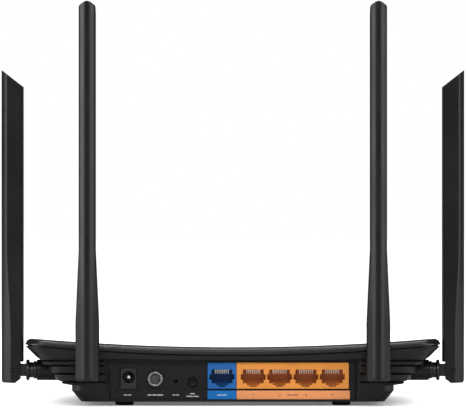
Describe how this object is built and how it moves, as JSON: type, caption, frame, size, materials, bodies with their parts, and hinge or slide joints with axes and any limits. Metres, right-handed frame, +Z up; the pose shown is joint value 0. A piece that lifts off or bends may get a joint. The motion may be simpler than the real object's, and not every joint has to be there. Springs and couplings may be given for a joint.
{
  "type": "wireless router",
  "caption": "Low terraced wireless router with a concave top, a recessed port panel and hinged flat antennas on its rear and sides.",
  "frame": {"origin": "the middle of the plane that the four feet stand on, under the middle of the case", "axes": "+Z up, -Y towards the port side, +X to the right when facing the ports"},
  "size_m": [0.2586, 0.1667, 0.2232],
  "materials": {
    "case_top": "fine satin texture",
    "case_base": "fine matte texture",
    "foot_rubber": "matte",
    "black_screw": "black oxide",
    "label_film": "blank silver film",
    "board": "green solder mask",
    "zinc_screw": "zinc plated",
    "jack_blue": "moulded",
    "jack_orange": "moulded",
    "gold": "gold flash",
    "strip_blue": "printed strip",
    "strip_orange": "printed strip",
    "black_gloss": "moulded",
    "nickel": "nickel plated",
    "button_grey": "satin with a bright rim",
    "button_black": "satin",
    "plunger_ivory": "moulded",
    "clear_pipe": "clear acrylic",
    "lamp_white": "moulded",
    "tin_plate": "tin plated",
    "aluminium": "satin",
    "chip_black": "moulded",
    "capacitor_sleeve": "shrink sleeve",
    "coil_ferrite": "ferrite",
    "antenna_black": "satin, lightly textured",
    "swivel_black": "satin",
    "pin_steel": "plain",
    "radiator_board": "copper-clad strip",
    "coax_black": "flexible jacket"
  },
  "bodies": {
    "case": {"top_cover": "case_top", "bottom_shell": "case_base", "rubber_feet": "foot_rubber", "case_screws": "black_screw", "base_label": "label_film", "main_pcb": "board", "pcb_screws": "zinc_screw", "wan_jack": "jack_blue", "wan_contacts": "gold", "lan_jack": "jack_orange", "lan_contacts": "gold", "wan_label": "strip_blue", "lan_label": "strip_orange", "dc_jack": "black_gloss", "dc_pin": "nickel", "power_switch": "black_gloss", "reset_switch": "black_gloss", "pairing_switch": "black_gloss", "light_pipe": "clear_pipe", "status_leds": "lamp_white", "shield_can_left": "tin_plate", "shield_can_right": "tin_plate", "heat_sink": "aluminium", "processor_chip": "chip_black", "switch_chip": "chip_black", "memory_chips": "chip_black", "port_transformers": "chip_black", "capacitors": "capacitor_sleeve", "power_coil": "coil_ferrite", "coax_sockets": "gold", "rear_left_coax": "coax_black", "rear_right_coax": "coax_black", "side_left_coax": "coax_black", "side_right_coax": "coax_black"},
    "power_button": {"power_button": "button_grey"},
    "pairing_button": {"pairing_button": "button_black"},
    "reset_plunger": {"reset_plunger": "plunger_ivory"},
    "rear_left_arm": {"rear_left_swivel": "swivel_black", "rear_left_clip": "pin_steel"},
    "rear_left_blade": {"rear_left_shell": "antenna_black", "rear_left_hinge_pin": "pin_steel", "rear_left_radiator": "radiator_board"},
    "rear_right_arm": {"rear_right_swivel": "swivel_black", "rear_right_clip": "pin_steel"},
    "rear_right_blade": {"rear_right_shell": "antenna_black", "rear_right_hinge_pin": "pin_steel", "rear_right_radiator": "radiator_board"},
    "side_left_arm": {"side_left_swivel": "swivel_black", "side_left_clip": "pin_steel"},
    "side_left_blade": {"side_left_shell": "antenna_black", "side_left_hinge_pin": "pin_steel", "side_left_radiator": "radiator_board"},
    "side_right_arm": {"side_right_swivel": "swivel_black", "side_right_clip": "pin_steel"},
    "side_right_blade": {"side_right_shell": "antenna_black", "side_right_hinge_pin": "pin_steel", "side_right_radiator": "radiator_board"}
  },
  "joints": [
    {"name": "power_press", "type": "slide", "parent": "case", "child": "power_button", "axis": [0, 1, 0], "range_m": [0, 0.002], "stiffness_N_per_m": 900, "springref_m": -0.0008},
    {"name": "pairing_press", "type": "slide", "parent": "case", "child": "pairing_button", "axis": [0, 1, 0], "range_m": [0, 0.0003], "stiffness_N_per_m": 4000, "springref_m": -0.0002},
    {"name": "reset_press", "type": "slide", "parent": "case", "child": "reset_plunger", "axis": [0, 1, 0], "range_m": [0, 0.0003], "stiffness_N_per_m": 4000, "springref_m": -0.0002},
    {"name": "rear_left_turn", "type": "hinge", "parent": "case", "child": "rear_left_arm", "pos_m": [-0.08, -0.0885, 0.0217], "axis": [0, 1, 0], "range_deg": [-90, 45]},
    {"name": "rear_left_fold", "type": "hinge", "parent": "rear_left_arm", "child": "rear_left_blade", "pos_m": [-0.08, -0.0885, 0.0217], "axis": [1, 0, 0], "range_deg": [0, 90]},
    {"name": "rear_right_turn", "type": "hinge", "parent": "case", "child": "rear_right_arm", "pos_m": [0.08, -0.0885, 0.0217], "axis": [0, 1, 0], "range_deg": [-45, 90]},
    {"name": "rear_right_fold", "type": "hinge", "parent": "rear_right_arm", "child": "rear_right_blade", "pos_m": [0.08, -0.0885, 0.0217], "axis": [1, 0, 0], "range_deg": [0, 90]},
    {"name": "side_left_turn", "type": "hinge", "parent": "case", "child": "side_left_arm", "pos_m": [-0.1231, -0.045, 0.0191], "axis": [1, 0, 0], "range_deg": [-90, 90]},
    {"name": "side_left_fold", "type": "hinge", "parent": "side_left_arm", "child": "side_left_blade", "pos_m": [-0.1231, -0.045, 0.0191], "axis": [0, -1, 0], "range_deg": [0, 90]},
    {"name": "side_right_turn", "type": "hinge", "parent": "case", "child": "side_right_arm", "pos_m": [0.1231, -0.045, 0.0191], "axis": [1, 0, 0], "range_deg": [-90, 90]},
    {"name": "side_right_fold", "type": "hinge", "parent": "side_right_arm", "child": "side_right_blade", "pos_m": [0.1231, -0.045, 0.0191], "axis": [0, 1, 0], "range_deg": [0, 90]}
  ]
}
